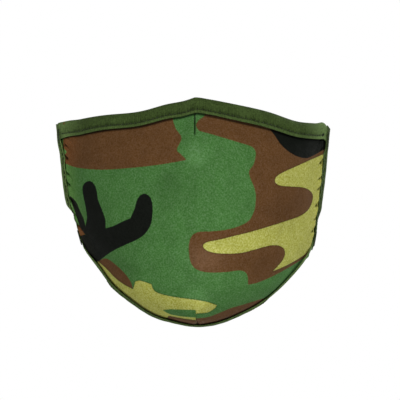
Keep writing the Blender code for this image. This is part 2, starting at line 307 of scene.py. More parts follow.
class Graph:
    """Node tree of one material, with short calls for the nodes that the cloths share."""

    def __init__(self, name):
        self.material = bpy.data.materials.new(name)
        self.material.use_nodes = True
        self.tree = self.material.node_tree
        self.shader = self.tree.nodes["Principled BSDF"]

    def add(self, kind, inputs=(), **settings):
        """Node of a kind with settings and inputs, each a value or another node's output."""
        node = self.tree.nodes.new(kind)
        for key, value in settings.items():
            setattr(node, key, value)
        for key, value in dict(inputs).items():
            self.feed(node.inputs[key], value)
        return node

    def feed(self, socket, value):
        """Value or link into a socket."""
        if isinstance(value, bpy.types.NodeSocket):
            self.tree.links.new(value, socket)
        else:
            socket.default_value = value

    def maths(self, operation, first, second=0.0, clamp=False):
        """Result of a sum on one or two numbers."""
        node = self.add("ShaderNodeMath", {0: first, 1: second}, operation=operation, use_clamp=clamp)
        return node.outputs[0]

    def field(self, name):
        """Number from the mesh."""
        return self.add("ShaderNodeAttribute", attribute_name=name).outputs["Fac"]

    def cloth(self):
        """Place on the flat cloth, in millimetres."""
        return self.add("ShaderNodeAttribute", attribute_name="cloth").outputs["Vector"]

    def noise(self, scale, detail=2.0, vector=None):
        """Noise with a number of lumps in each metre, or in each unit of another vector."""
        if vector is None:
            vector = self.add("ShaderNodeTexCoord").outputs["Object"]
        node = self.add("ShaderNodeTexNoise", {"Vector": vector, "Scale": scale, "Detail": detail})
        return node.outputs["Fac"]

    def grain(self, colour, scale, spread, pale):
        """Colour of a printed yarn: it varies by a spread, and its brighter fibres are less inked."""
        noise = self.noise(scale, 3.0)
        grey = self.add("ShaderNodeRGBToBW", {0: colour}).outputs[0]
        grey = self.add("ShaderNodeCombineColor", {0: grey, 1: grey, 2: grey}).outputs[0]
        colour = self.mix(self.step(noise, 0.35, 0.75, 0.0, pale), colour, grey)
        return self.shaded(colour, self.scale(noise, 1.0 - spread, 1.0 + spread))

    def step(self, value, low, high, out_low=0.0, out_high=1.0):
        """Value moved from one range to another, with soft ends."""
        node = self.add(
            "ShaderNodeMapRange",
            {"Value": value, "From Min": low, "From Max": high, "To Min": out_low, "To Max": out_high},
            interpolation_type="SMOOTHSTEP",
        )
        return node.outputs["Result"]

    def scale(self, value, out_low, out_high):
        """A 0..1 value moved to another range."""
        node = self.add("ShaderNodeMapRange", {"Value": value, "To Min": out_low, "To Max": out_high})
        return node.outputs["Result"]

    def mix(self, share, first, second, blend="MIX"):
        """Mix of two colours."""
        node = self.add("ShaderNodeMix", data_type="RGBA", blend_type=blend)
        for socket, value in ((node.inputs[0], share), (node.inputs[6], first), (node.inputs[7], second)):
            self.feed(socket, value)
        return node.outputs[2]

    def shaded(self, colour, amount):
        """Colour times a number near 1."""
        grey = self.add("ShaderNodeCombineColor", {0: amount, 1: amount, 2: amount}).outputs[0]
        return self.mix(1.0, colour, grey, blend="MULTIPLY")

    def wave(self, pitch, across=False):
        """Even ridges on the cloth, a pitch in millimetres apart."""
        parts = self.add("ShaderNodeSeparateXYZ", {0: self.cloth()})
        turn = self.maths("MULTIPLY", parts.outputs[1 if across else 0], 2.0 * math.pi / pitch)
        return self.maths("SINE", turn)

    def shade(self, **inputs):
        """Values or links into the shader's inputs."""
        for name, value in inputs.items():
            self.feed(self.shader.inputs[name.replace("_", " ")], value)

    def finish(self, colour, height, relief, roughness, sheen):
        """Material with a colour, a relief in millimetres, a roughness and a sheen."""
        bumps = self.add("ShaderNodeBump", {"Height": height, "Distance": relief * MM, "Strength": 1.0})
        self.shade(Base_Color=colour, Normal=bumps.outputs["Normal"], Roughness=roughness)
        self.shade(Sheen_Weight=sheen, Sheen_Roughness=0.5, Specular_IOR_Level=0.04)
        return self.material


GREEN = (0.0540, 0.1640, 0.0350, 1.0)
BROWN = (0.1140, 0.0510, 0.0155, 1.0)
KHAKI = (0.3950, 0.4000, 0.0620, 1.0)
BLACK = (0.0055, 0.0070, 0.0050, 1.0)
OLIVE = (0.0385, 0.0630, 0.0150, 1.0)
OLIVE_LIGHT = (0.1120, 0.1800, 0.0520, 1.0)
LINING = (0.1000, 0.1280, 0.0640, 1.0)
THREAD = (0.0240, 0.0360, 0.0120, 1.0)
ELASTIC = (0.0700, 0.0950, 0.0400, 1.0)
FILTER = (0.72, 0.72, 0.70, 1.0)
PAINTED_HIGHLIGHT_LIFT = (1.25, 1.25, 1.25, 1.0)  # how much lighter a painted highlight makes the cloth, before a little white is mixed in
WHITE = (1.0, 1.0, 1.0, 1.0)
PALER_TINT = (1.75, 1.48, 1.28, 1.0)  # how much lighter each of red, green and blue is near the side edge at -X


def knit_height(graph, wale, course):
    """Relief of a plain knit: columns of loops crossed by courses."""
    columns = graph.wave(wale)
    rows = graph.wave(course, across=True)
    return graph.maths("ADD", columns, rows)


def camo_material():
    """Printed knit: a colour's edge is the zero line of a number on the mesh, roughened like ink on yarn."""
    g = Graph("camo_knit")
    frayed = g.scale(g.noise(1500.0, 3.0), -0.28, 0.28)
    colour = GREEN
    for name, ink in (("brown", BROWN), ("khaki", KHAKI), ("green", GREEN), ("black", BLACK)):
        edge = g.maths("ADD", g.field(name), frayed)
        if name == "khaki":
            line = g.step(g.maths("ABSOLUTE", g.maths("ADD", edge, 0.15)), 0.15, 0.55, 0.72, 1.0)
        colour = g.mix(g.step(edge, -0.18, 0.18), colour, ink)
        if name == "khaki":
            colour = g.shaded(colour, line)
    colour = g.grain(colour, 1200.0, 0.72, 0.24)
    colour = g.shaded(colour, g.scale(g.noise(130.0, 4.0), 0.80, 1.20))
    # paler and yellower towards the side edge at -X
    colour = g.mix(g.field("paler_near_left_edge"), colour, g.mix(1.0, colour, PALER_TINT, blend="MULTIPLY"))
    # painted highlight over the nose, mouth and chin: the colour made lighter, with a little white mixed in
    lit = g.mix(0.014, g.mix(1.0, colour, PAINTED_HIGHLIGHT_LIFT, blend="MULTIPLY"), WHITE)
    colour = g.mix(g.field("painted_highlight"), colour, lit)
    # painted shade: darker under the tapes' lips, along the darts, between the gathers, in soft spots and at
    # the chin
    colour = g.shaded(colour, g.step(g.field("painted_shade"), 0.0, 1.0, 1.0, 0.12))
    height = g.maths("ADD", knit_height(g, 0.62, 0.74), g.noise(2600.0, 2.0))
    return g.finish(colour, height, 0.05, g.scale(g.noise(300.0), 0.62, 0.8), 0.0)


def plain_cloth_material(name, base, wale, course, relief=0.06, ribbed=False):
    """Plain knitted or woven cloth with a little variation; ribs of an elastic run along it."""
    g = Graph(name)
    speckle = g.scale(g.noise(1400.0, 3.0), 0.45, 1.55)
    cloudy = g.scale(g.noise(70.0, 3.0), 0.82, 1.18)
    rows = g.scale(g.wave(wale, across=ribbed), 0.86 if ribbed else 0.93, 1.0)
    colour = g.shaded(base, g.maths("MULTIPLY", g.maths("MULTIPLY", speckle, cloudy), rows))
    height = g.maths("ADD", knit_height(g, wale, course), g.noise(2600.0, 2.0))
    return g.finish(colour, height, relief, g.scale(g.noise(300.0), 0.82, 0.95), 0.04)


def tape_material():
    """Olive binding: fine ribs across its length, paler at its ends from wear and painted light, and with
    painted light on its lip.
    """
    g = Graph("olive_tape")
    pale = g.scale(g.noise(140.0, 3.0), -0.15, 0.25)
    share = g.maths("ADD", g.field("wear_and_painted_light"), pale, clamp=True)
    speckle = g.scale(g.noise(1150.0, 3.0), 0.15, 1.85)
    stretched = g.add("ShaderNodeVectorMath", {0: g.cloth(), 1: (1.5, 0.16, 1.0)}, operation="MULTIPLY")
    streaks = g.noise(1.0, 3.0, stretched.outputs[0])
    ribs = g.scale(g.wave(TAPE_RIB), 0.90, 1.06)
    colour = g.mix(share, OLIVE, OLIVE_LIGHT)
    colour = g.shaded(colour, g.maths("MULTIPLY", speckle, ribs))
    colour = g.shaded(colour, g.scale(streaks, 0.78, 1.22))
    # painted shade along the seam, broken into streaks like the gathers above it
    darkness = g.maths("MULTIPLY", g.field("needle"), g.step(streaks, 0.35, 0.6, 1.25, 0.6))
    colour = g.shaded(colour, g.step(darkness, 0.0, 1.0, 1.0, 0.42))
    height = g.maths("ADD", g.maths("MULTIPLY", g.wave(TAPE_RIB), 0.5), g.maths("MULTIPLY", streaks, 3.0))
    return g.finish(colour, height, 0.07, g.scale(g.noise(300.0), 0.75, 0.9), 0.03)


def thread_material():
    """Two-ply sewing thread with its twist."""
    g = Graph("thread")
    parts = g.add("ShaderNodeSeparateXYZ", {0: g.cloth()})
    slant = g.maths("ADD", parts.outputs[0], parts.outputs[1])
    twist = g.maths("SINE", g.maths("MULTIPLY", slant, 2.0 * math.pi / THREAD_TWIST))
    colour = g.shaded(THREAD, g.scale(twist, 0.85, 1.15))
    return g.finish(colour, twist, 0.05, g.scale(g.noise(900.0), 0.5, 0.7), 0.1)


def wire_material():
    """Soft bare metal strip, drawn along its length and dulled in patches."""
    g = Graph("soft_wire")
    dull = g.noise(500.0, 3.0)
    lines = g.noise(3000.0, 2.0)
    colour = g.mix(dull, (0.52, 0.53, 0.55, 1.0), (0.66, 0.67, 0.68, 1.0))
    g.shade(Metallic=1.0)
    return g.finish(colour, lines, 0.01, g.scale(dull, 0.28, 0.5), 0.0)


# ---- the print on the panel

# Outlines of the colours as seen from the front, in millimetres. A point in square brackets is a corner.
BROWN_PATCHES = (
    (  # upper patch at -X
        [-71, 52], [-40, 61], [-11, 61], (-11, 51), (-10.3, 48), (-9, 45), (-7, 42.5), (-6.3, 40),
        (-7.5, 37.4), (-8.8, 34), (-7, 32), [-3.5, 28.6], (-15.3, 26.5), (-27.5, 24.9), (-47.5, 23.3),
        (-58, 23.7), (-65, 24.8), [-70.6, 27], (-70.8, 30.6), (-69.2, 33), (-70.9, 35.5),
    ),
    (  # the great patch at +X
        [7, 59], (6.5, 53.2), (2.7, 50), [1.5, 47.4], (3.2, 44.8), (8, 43.3), (19.2, 40), (27.3, 37.5),
        (31.8, 36), (34.1, 33.6), (34.2, 30.8), (33.1, 26.2), (30.6, 21.8), (33.1, 14.5), (34.3, 10),
        (34.1, 3.9), (32.9, -0.7), (30.5, -4.6), (25.2, -7.6), (17.2, -9.7), (9.2, -10.5), (3.1, -10.8),
        (-0.2, -12.5), (-2.1, -16.5), (-2.3, -21.6), (-1.5, -26.7), (0.5, -30.2), (4.2, -32.2), (10.2, -33),
        (18.4, -32.7), (25.5, -31.8), (28.6, -32.8), (29.9, -35.3), [30.1, -39.7], (35.7, -38.4),
        (43.8, -34.9), (50, -31.6), (56.9, -27.5), (62, -23.9), [80, -10], [80, 56],
    ),
    (  # under the chin, +X side of the dart
        [1.5, -58.1], (8.2, -57.3), (14.2, -55.1), (20.8, -52.4), (26.8, -50.7), (33.9, -48.5), [41, -46.4],
        [45, -50.7], [25.7, -61.7], [1.5, -66],
    ),
    (  # under the chin, -X side of the dart
        [-14, -56.6], (-9.3, -57.3), (-4.1, -58.3), [1.5, -59], [1.5, -66], [-13, -62],
    ),
    (  # blade at the lower edge, -X
        [-52, -26.7], (-47.7, -25.3), (-42.7, -28.4), (-37.6, -33.2), (-34.2, -37.8), [-32.8, -42],
        (-37.6, -39.6), (-42.7, -36), (-47.7, -30.8),
    ),
    ([-68, -3], (-61.2, -8.4), [-58.9, -11.9], (-61.5, -13.9), [-68, -14.4]),
)
KHAKI_PATCHES = (
    (  # forked stripe at +X
        [77.7, 35.4], (72.8, 32.5), (66.1, 29.5), (57, 25.4), (48.6, 21.5), (45.5, 19.3), (44.8, 16.8),
        (47, 14.8), (53, 14.1), (59, 13.7), (63, 12.5), (65.3, 10), (65.5, 7.5), (64.5, 3.9), (62.6, 0.9),
        (58.8, -1.9), (50.9, -4.8), (41.7, -7.7), (31.6, -10.7), (21.4, -13.2), (13.3, -15.2), (7.9, -16.3),
        (5.4, -18.2), (7, -20.6), (11.3, -22.1), (18.4, -22.7), (26.5, -22.2), (34.6, -20.2), (41.7, -18.3),
        (46.6, -18.2), (49.6, -19.9), (50.3, -22.6), (49, -26.2), (45.6, -30.2), [43.5, -32.4],
        (50.5, -29.4), (56.8, -26), (61, -23.2), (65.1, -19), [75, -8], [83, 12],
    ),
    (  # along the lower edge, with its tongue over the chin dart
        [-52.5, -26.4], (-47.7, -30.5), (-42.7, -35.8), (-37.6, -39.6), [-32.8, -42.1], [-31.6, -37.9],
        (-28.9, -37.4), [-22.8, -39.4], (-21.8, -42.1), (-19.3, -44.1), (-13.1, -45.8), (-5, -47.1),
        (2.1, -48), (8.2, -49.2), [13.1, -50.9], (11.6, -52.8), (8, -54.8), [1.5, -55.4], [1.5, -59],
        (-4.1, -58.3), (-9.3, -57.4), [-13.2, -56.6], [-16, -60], [-23.5, -57.6], [-37.6, -50.4],
        [-48.4, -39.6],
    ),
)
GREEN_PATCHES = (
    (  # wedge that ends at the chin dart
        [1.5, -53.4], (-7.1, -53.2), (-13.1, -53.1), [-16.6, -53.6], (-13.1, -55.6), (-7.1, -56.9),
        [1.5, -57.7],
    ),
)
BLACK_PATCHES = (
    (  # upper corner at +X
        [41.7, 46.1], (45.3, 41), (47.9, 37.2), (52.2, 33.3), (57.4, 30.4), (62.2, 29.6), (66.9, 31.6),
        (72.5, 34.9), [80.4, 39.4], [80.4, 51.6], [40.5, 55],
    ),
    (  # three fingers and an arm at -X
        [-51.6, -27], (-56, -26), (-62, -20), [-68, -14.6], [-59, -12.2], (-61.8, -8.1), (-63.8, -2.1),
        (-65.8, 3.4), [-67.8, 9.4], (-64.2, 6), (-61.8, 0.7), (-60, -3.1), [-58.8, -7.7], (-58.1, -2.6),
        (-58.8, 2.9), (-60, 8.9), (-60.5, 13.5), (-59.2, 16), (-56.8, 17.1), (-54.4, 15.8), (-52.8, 12.2),
        (-51.9, 6.7), (-49.5, 0.7), (-48, -4.2), [-47.8, -8.8], (-43.7, -7.5), (-37.6, -4.6), [-34.3, -3.3],
        (-32.1, 1.8), (-30.5, 7), (-28.9, 9.2), (-26.9, 10.2), (-24.5, 9.3), (-22.8, 6.9), (-22.1, 2.9),
        (-22.4, -3.1), (-23.4, -7.4), (-26.4, -11.9), (-30.5, -14.9), (-37.6, -18.1), (-44.7, -21.7),
        (-49.3, -25),
    ),
)
PRINT = {"brown": BROWN_PATCHES, "khaki": KHAKI_PATCHES, "green": GREEN_PATCHES, "black": BLACK_PATCHES}
PRINT_REACH = 5.0  # distances to an edge are kept within this many millimetres
CAMERA_TURN = math.radians(-1.3)  # the view from which the outlines are given
CAMERA_DISTANCE = 3000.0
VIEW_X, VIEW_Z = 3.8, 6.7


def outline_curve(outline, steps=6):
    """Closed curve through an outline's points, smooth except at its corners."""
    places = np.array([list(point) for point in outline], float)
    curve = []
    for i, start in enumerate(places):
        j = (i + 1) % len(places)
        chord = places[j] - start
        directions = []
        for k in (i, j):
            around = places[(k + 1) % len(places)] - places[k - 1]
            is_corner = isinstance(outline[k], list)
            directions.append(chord if is_corner else unit(around) * np.linalg.norm(chord))
        curve += [hermite(t, start, places[j], *directions) for t in np.arange(steps) / steps]
    return np.array(curve)


def unrolled(places):
    """Front-view places with the sides rolled out flat, so that the print is not stretched there."""
    share = np.clip(places[:, 0] / (HALF_WIDTH + 2.0), -1.0, 1.0)
    turned = np.arcsin(share * math.sin(HALF_SWEEP)) * HALF_WIDTH / math.sin(HALF_SWEEP)
    return np.stack((turned, places[:, 1]), -1)


def inside_distance(places, curve):
    """Distance from each place to a closed curve, positive inside it, within PRINT_REACH."""
    result = np.full(len(places), -PRINT_REACH)
    low, high = curve.min(axis=0) - PRINT_REACH, curve.max(axis=0) + PRINT_REACH
    near = np.flatnonzero(np.all((places > low) & (places < high), axis=1))
    ends = np.roll(curve, -1, axis=0)
    edge = ends - curve
    for part in np.array_split(near, max(1, len(near) // 4000)):
        away = places[part][:, None] - curve[None]
        share = np.clip((away * edge).sum(-1) / np.maximum((edge * edge).sum(-1), 1e-9), 0.0, 1.0)
        distance = np.linalg.norm(away - share[..., None] * edge, axis=-1).min(axis=1)
        rises = (curve[:, 1] <= places[part, 1][:, None]) != (ends[:, 1] <= places[part, 1][:, None])
        height = np.where(np.abs(edge[:, 1]) < 1e-9, 1e-9, edge[:, 1])
        crossing = curve[:, 0] + (places[part, 1][:, None] - curve[:, 1]) / height * edge[:, 0]
        inside = (rises & (crossing > places[part, 0][:, None])).sum(axis=1) % 2 == 1
        result[part] = np.where(inside, 1.0, -1.0) * np.minimum(distance, PRINT_REACH)
    return result


def seen_from_front(points):
    """Places of points on the plane through the side edges, as the camera sees them."""
    from_centre = points - np.array((VIEW_X, 0.0, VIEW_Z))
    right = from_centre[:, 0] * math.cos(CAMERA_TURN) + from_centre[:, 1] * math.sin(CAMERA_TURN)
    further = from_centre[:, 1] * math.cos(CAMERA_TURN) - from_centre[:, 0] * math.sin(CAMERA_TURN)
    nearer = CAMERA_DISTANCE / (CAMERA_DISTANCE + further)
    return np.stack((VIEW_X + right * nearer, VIEW_Z + from_centre[:, 2] * nearer), -1)


def add_print(thing, points):
    """Distances inside each colour's patches, on every vertex of the panel."""
    places = unrolled(seen_from_front(points.reshape(-1, 3)))
    for name, patches in PRINT.items():
        best = np.full(len(places), -PRINT_REACH)
        for outline in patches:
            best = np.maximum(best, inside_distance(places, unrolled(outline_curve(outline))))
        add_field(thing, name, best)


# ---- cloth layers

DARTS = {True: (-0.2, 16.6), False: (1.5, 14.5)}  # x and reach of the dart at the nose and at the chin
GATHER_PITCH = 7.4
RIGHT_FOLD_SHIFT = 2.4
RIDGE_HEIGHT, RIDGE_WIDTH = 3.2, 13.0
EDGE_MARGIN, FILTER_MARGIN = 0.006, 0.13
PAINTED_HIGHLIGHT_SPOTS = (  # x, z, half width, half height and share of the painted highlights over nose, mouth and chin
    (0.8, 29.0, 5.5, 6.0, 0.8),
    (4.6, -24.4, 10.0, 7.0, 1.0),
    (0.8, -45.4, 6.0, 4.5, 0.9),
)
SHADE_SPOTS = (  # x, z, half width, half height and share of the painted shade beside the nose, on the cheek at +X and above the lower edge
    (-12.6, 13.0, 12.0, 14.0, 0.36),
    (47.0, 0.0, 12.0, 16.0, 0.25),
    (36.0, -28.0, 9.0, 9.0, 0.22),
    (-36.0, -30.0, 8.0, 9.0, 0.25),
)


def shell_grid(columns, rows, margin):
    """u and v of a grid over the shell that is finer next to the centre line and stays inside its edges."""
    seam = 0.05
    fine = int(columns * 0.14)
    sides = (columns - fine) // 2
    u = np.concatenate((
        np.linspace(-1.0 + margin, -seam, sides, endpoint=False),
        np.linspace(-seam, seam, fine, endpoint=False),
        np.linspace(seam, 1.0 - margin, sides + 1),
    ))
    table = np.broadcast_to(TABLE, (len(u), TABLE.size))
    runs = run_of(surface(np.broadcast_to(u[:, None], table.shape), table), axis=1)
    shares = np.linspace(margin / 2, 1.0 - margin / 2, rows)
    v = np.stack([np.interp(shares * run[-1], run, TABLE) for run in runs], axis=1)
    return np.broadcast_to(u, v.shape).copy(), v


def edge_distances(u, v):
    """Distances of a grid's points from the lower, upper and both side edges, along the cloth."""
    points = surface(u, v)
    up = run_of(points, axis=0)
    along = run_of(points, axis=1)
    return up, up[-1] - up, along, along[:, -1:] - along


def folds(place):
    """Share of a narrow fold line at each place along a gathered edge: narrow and unevenly spaced."""
    swing = place + 1.5 * np.sin(place * 0.31) + 0.7 * np.sin(place * 0.83 + 1.0)
    return np.abs(np.cos(math.pi * swing / GATHER_PITCH)) ** 7


def gathers(place, distance):
    """Folds that run into the cloth from a gathered edge: soft bulges with narrow grooves between them."""
    size = 0.8 + 0.2 * np.sin(place * 0.47 + 0.6)
    rise = rising(distance, 6.0, 3.0) * np.exp(-np.maximum(distance - 9.5, 0.0) / 3.2)
    return size * rise * (1.1 - 2.0 * folds(place))


def wrinkles(points, seed):
    """Slow uneven waves of a worn cloth."""
    total = np.zeros(points.shape[:-1])
    state = np.random.RandomState(seed)
    for size, height in ((46.0, 0.30), (27.0, 0.18), (15.0, 0.09)):
        for _ in range(3):
            direction = state.normal(size=3)
            direction /= np.linalg.norm(direction)
            total += height / 2 * np.sin(points @ direction * 2 * math.pi / size + state.uniform(0, 6.3))
    return total


def dart_place(points, from_edge, top):
    """Distance from a dart's line, and its share of full depth, which fades out at its point."""
    dart_x, reach = DARTS[top]
    from_tape = from_edge - 8.0
    return points[..., 0] - dart_x, smooth((reach - from_tape) / 4.0) * (from_tape > -3.0)


def dart_fold(points, from_edge, top):
    """Pinch of a sewn dart: a narrow groove that fades into a soft swell past its point."""
    aside, along = dart_place(points, from_edge, top)
    groove = np.exp(-np.abs(aside) / 0.55) * along
    lips = bump(aside, 4.0) * along
    swell = bump(aside, 8.0) * bump(from_edge - DARTS[top][1] - 11.0, 7.0)
    return 0.35 * lips + 0.8 * swell - 1.15 * groove


def spots(points, places):
    """Sum of soft spots on the front, each with its place, its half sizes and its share."""
    x, z = points[..., 0], points[..., 2]
    return sum(share * bump(x - spot_x, wide) * bump(z - spot_z, high)
               for spot_x, spot_z, wide, high, share in places)


def painted_panel_shade(points, u, up, down, from_left, from_right):
    """Painted shade: dark lines under the tapes and along the darts, dark pockets between the gathers,
    darker spots beside the nose and on the cheeks, and a darker chin.
    """
    below_lip = down - tape_width(u, True) + 0.4
    above_lip = up - tape_width(u, False)
    line = np.maximum(bump(below_lip, 0.8), (1.4 - 0.9 * drawn_under(u)) * bump(above_lip - 1.1, 1.6))
    for distance, top, depth in ((down, True, 1.0), (up, False, 0.35)):
        aside, along = dart_place(points, distance, top)
        line = np.maximum(line, depth * bump(aside, 0.45) * along)
    for place, distance in ((up, from_left), (up + RIGHT_FOLD_SHIFT, from_right)):
        pocket = 1.3 * folds(place) * bump(distance - 9.0, 1.5)
        line = np.maximum(line, np.maximum(pocket, 0.55 * bump(distance - 8.2, 0.5)))
    # painted shade: darker towards the chin, and in soft spots on the front
    shade = 0.28 * smooth((-34.0 - points[..., 2]) / 16.0) + spots(points, SHADE_SPOTS)
    return np.clip(line, shade, 1.0)


def make_panel():
    """Printed knit panel with its darts, side gathers and slow wrinkles."""
    u, v = shell_grid(columns=330, rows=190, margin=EDGE_MARGIN)
    points = surface(u, v)
    up, down, from_left, from_right = edge_distances(u, v)
    out = gathers(up, from_left) + gathers(up + RIGHT_FOLD_SHIFT, from_right)
    inner = rising(np.minimum(up, down), 10.0, 14.0) * rising(np.minimum(from_left, from_right), 8.0, 20.0)
    out = out + wrinkles(points, seed=4) * inner
    out = out + dart_fold(points, down, True) + dart_fold(points, up, False)
    out = out - 0.25 * bump(down - tape_width(u, True), 0.9) - 0.45 * bump(up - tape_width(u, False), 1.1)
    out = out + RIDGE_HEIGHT * np.exp(-np.abs(points[..., 0] - 0.8) / RIDGE_WIDTH) * inner
    shaped = points - normals(u, v) * out[..., None]
    faces = grid_faces(*u.shape)
    panel = make_object("camo_panel", shaped, faces, "mask", "outer_panel", camo_material())
    add_print(panel, shaped)
    add_cloth_coordinates(panel, from_left, up)
    # painted shade under the tape lips, along the darts, between the gathers, in spots and at the chin
    add_field(panel, "painted_shade", painted_panel_shade(points, u, up, down, from_left, from_right))
    # paler and yellower within about 30 mm of the side edge at -X
    add_field(panel, "paler_near_left_edge", 0.80 * smooth((30.0 - from_left) / 20.0))
    # painted highlights over the nose, mouth and chin
    add_field(panel, "painted_highlight", spots(points, PAINTED_HIGHLIGHT_SPOTS))
    thicken(panel, PANEL_THICKNESS, -1.0)


def make_lining():
    """Plain knit lining, with a seam down its middle and its own slow wrinkles."""
    u, v = shell_grid(columns=220, rows=130, margin=EDGE_MARGIN)
    points = surface(u, v)
    up, down, from_left, from_right = edge_distances(u, v)
    inner = rising(np.minimum(up, down), 9.0, 10.0) * rising(np.minimum(from_left, from_right), 9.0, 10.0)
    lift = 0.7 + 2.0 * wrinkles(points, seed=9)
    inwards = LINER_OUTER + 0.5 * (lift + np.sqrt(lift**2 + 0.1)) * inner
    inwards = inwards + 0.9 * np.abs(gathers(up, from_left) + gathers(up, from_right))
    inwards = inwards + 0.9 * np.exp(-np.abs(points[..., 0]) / 0.9) * inner
    shaped = points + normals(u, v) * inwards[..., None]
    knit = plain_cloth_material("lining_knit", LINING, 0.7, 0.8)
    lining = make_object("lining", shaped, grid_faces(*u.shape), "mask", "inner_liner", knit)
    add_cloth_coordinates(lining, from_left, up)
    thicken(lining, LINER_INNER - LINER_OUTER, -1.0)


def make_filter():
    """Non-woven sheet between panel and lining, clear of the taped edges."""
    u, v = shell_grid(columns=120, rows=80, margin=FILTER_MARGIN)
    up, _, from_left, _ = edge_distances(u, v)
    points = surface(u, v) + normals(u, v) * FILTER_OUTER
    felt = plain_cloth_material("filter_felt", FILTER, 1.6, 1.6, relief=0.05)
    sheet = make_object("filter_sheet", points, grid_faces(*u.shape), "mask", "filter_layer", felt)
    add_cloth_coordinates(sheet, from_left, up)
    thicken(sheet, FILTER_INNER - FILTER_OUTER, -1.0)


# ---- tapes and stitches

NEEDLE_PITCH = 2.5
SIDE_NEEDLE = 6.0
STITCH_HALF = 0.95
THREAD_TWIST = 0.45
TACK_PLACES = {True: 6.5, False: 6.0}  # middle of an upper and a lower tack, from the end of its side edge
TACK_HALF, TACK_PITCH, TACK_STITCH_HALF = 3.4, 0.42, 1.15


def fold_section(lift):
    """Section of a folded tape, from its front lip to its back: distances from the edge and inwards."""
    front, back = TAPE_FRONT - lift, TAPE_BACK + lift
    radius = (back - front) / 2
    centre = radius - TAPE_OVERHANG
    section = [(d, front) for d in np.linspace(TAPE_WIDTH, centre, LIP_ROWS, endpoint=False)]
    for turn in np.linspace(0.0, math.pi, 11):
        section.append((centre - radius * math.sin(turn), front + radius * (1.0 - math.cos(turn))))
    section += [(d, back) for d in np.linspace(centre, TAPE_WIDTH, 15)[1:]]
    return np.array(section)


FRONT = (np.arange(len(fold_section(0.0))) < LIP_ROWS)[:, None]


def drawn_under(u):
    """Share by which the lower tape turns under the cheeks."""
    return np.maximum(rising(-u, 0.30, 0.38), rising(u, 0.22, 0.30))


def tape_width(u, top):
    """Distance of a long tape's front lip from the edge: wide beside the nose, drawn under at the cheeks."""
    if top:
        return TAPE_WIDTH + 1.2 + 1.5 * bump(u - 0.36, 0.26) - 1.0 * rising(np.abs(u), 0.6, 0.3)
    return TAPE_WIDTH - 5.2 * drawn_under(u)


def needle_line(u, top):
    """Distance of the seam from the edge: near the lip over the nose, further from it towards the ends."""
    from_end = 0.5 * u**2 + 1.9 * np.abs(u) ** 8
    if top:
        return TAPE_WIDTH - 1.0 + 1.0 * bump(u - 0.36, 0.26) - from_end
    width = tape_width(u, top)
    return np.maximum(width - 1.7 - from_end, 0.4 * width)


def puffed(distance, needle, width, place):
    """Rise of a tape's front: a full roll above the seam, a slack lip below it, a dimple at each stitch."""
    roll = np.clip(distance / needle, 0.0, 1.0)
    lip = np.clip((distance - needle) / (width - needle), 0.0, 1.0)
    rise = 0.55 * np.sin(math.pi * roll**1.25) ** 0.8 + 0.26 * np.sin(math.pi * lip * 0.62)
    pull = 0.5 + 0.5 * np.cos(2.0 * math.pi * place / NEEDLE_PITCH)
    rise = rise - (0.12 + 0.10 * pull) * bump(distance - needle, 0.6)
    puckers = np.sin(place * 4.9 + 1.7 * np.sin(place * 0.63)) + 0.6 * np.sin(place * 3.1 + 0.5)
    rise = rise + 0.06 * puckers * bump(distance - needle + 1.2, 1.6)
    rise = rise + 0.08 * np.sin(place * 0.21) + 0.03 * np.sin(place * 0.9 + distance)
    return np.where(FRONT, rise, 0.0)


def fold_rows(grid_at, distances, outwards):
    """Rows of points along a folded tape and their inward directions, from their distances to the edge."""
    rows, inner = [], []
    for distance in distances:
        u, v = grid_at(np.maximum(distance, 0.0))
        rows.append(surface(u, v) + outwards * np.maximum(-distance, 0.0)[:, None])
        inner.append(normals(u, v))
    return np.array(rows), np.array(inner)


def make_tape(name, node, points, flipped, place, across, needle, wear_and_painted_light):
    """Tape from its points, its places along and across the cloth, and its fields."""
    faces = grid_faces(*points.shape[:2])
    faces = faces[:, ::-1] if flipped else faces
    tape = make_object(name, points, faces, "mask", node, TAPE_MATERIAL)
    add_cloth_coordinates(tape, place, across)
    # needle: painted shade along the seam
    add_field(tape, "needle", np.where(FRONT, needle, 0.0))
    add_field(tape, "wear_and_painted_light", np.clip(wear_and_painted_light, 0.0, 1.0))
    thicken(tape, TAPE_THICKNESS, 0.0)


def make_long_tape(name, top, node):
    """Binding along the upper or lower edge, from side to side."""
    u = np.linspace(-0.995, 0.995, 620)
    flat, depth = fold_section(0.0).T[..., None]
    distance = flat + (flat - flat[LIP_ROWS]) * (tape_width(u, top) / TAPE_WIDTH - 1.0) * FRONT
    outwards = unit(surface(u, np.full(u.shape, float(top))) - surface(u, heights_at(u, 1.0, top)))
    rows, inner = fold_rows(lambda wanted: (u, heights_at(u, wanted, top)), distance, outwards)
    place = run_of(rows[LIP_ROWS], axis=0)
    needle = needle_line(u, top)
    ending = rising(np.abs(u), 0.91, 0.06)
    rise = puffed(distance, needle, tape_width(u, top), place) * (1.0 - ending)
    rise = rise + np.where(depth < 1.2, -0.2, 0.2) * ending
    points = rows + inner * (depth - rise)[..., None]
    below = distance - needle
    ends = rising(np.abs(u), 0.66, 0.3)
    # painted shade along the seam: strongest just above the stitches, weaker towards the ends
    shadow = np.where(below < 0, np.exp(below / 1.6), bump(below, 0.35)) * (1.0 - 0.6 * ends)
    shadow = shadow * (1.0 if top else 0.6)
    # paler at the ends from wear and painted light, painted light on the lip below the seam, and the lower
    # tape paler all along
    wear_and_painted_light = 0.9 * ends + np.where(FRONT, 0.2 * smooth(below - 0.2), 0.0) + (0.0 if top else 0.35)
    make_tape(name, node, points, not top, place, run_of(rows, axis=0), shadow, wear_and_painted_light)


def side_leaf(place):
    """Share of its full width that a side tape shows at each place: it tapers to its ends."""
    from_top = place[-1] - place
    return (1.0 - 0.40 * smooth((16.0 - from_top) / 8.0)) * (1.0 - 0.5 * smooth((20.0 - place) / 10.0))


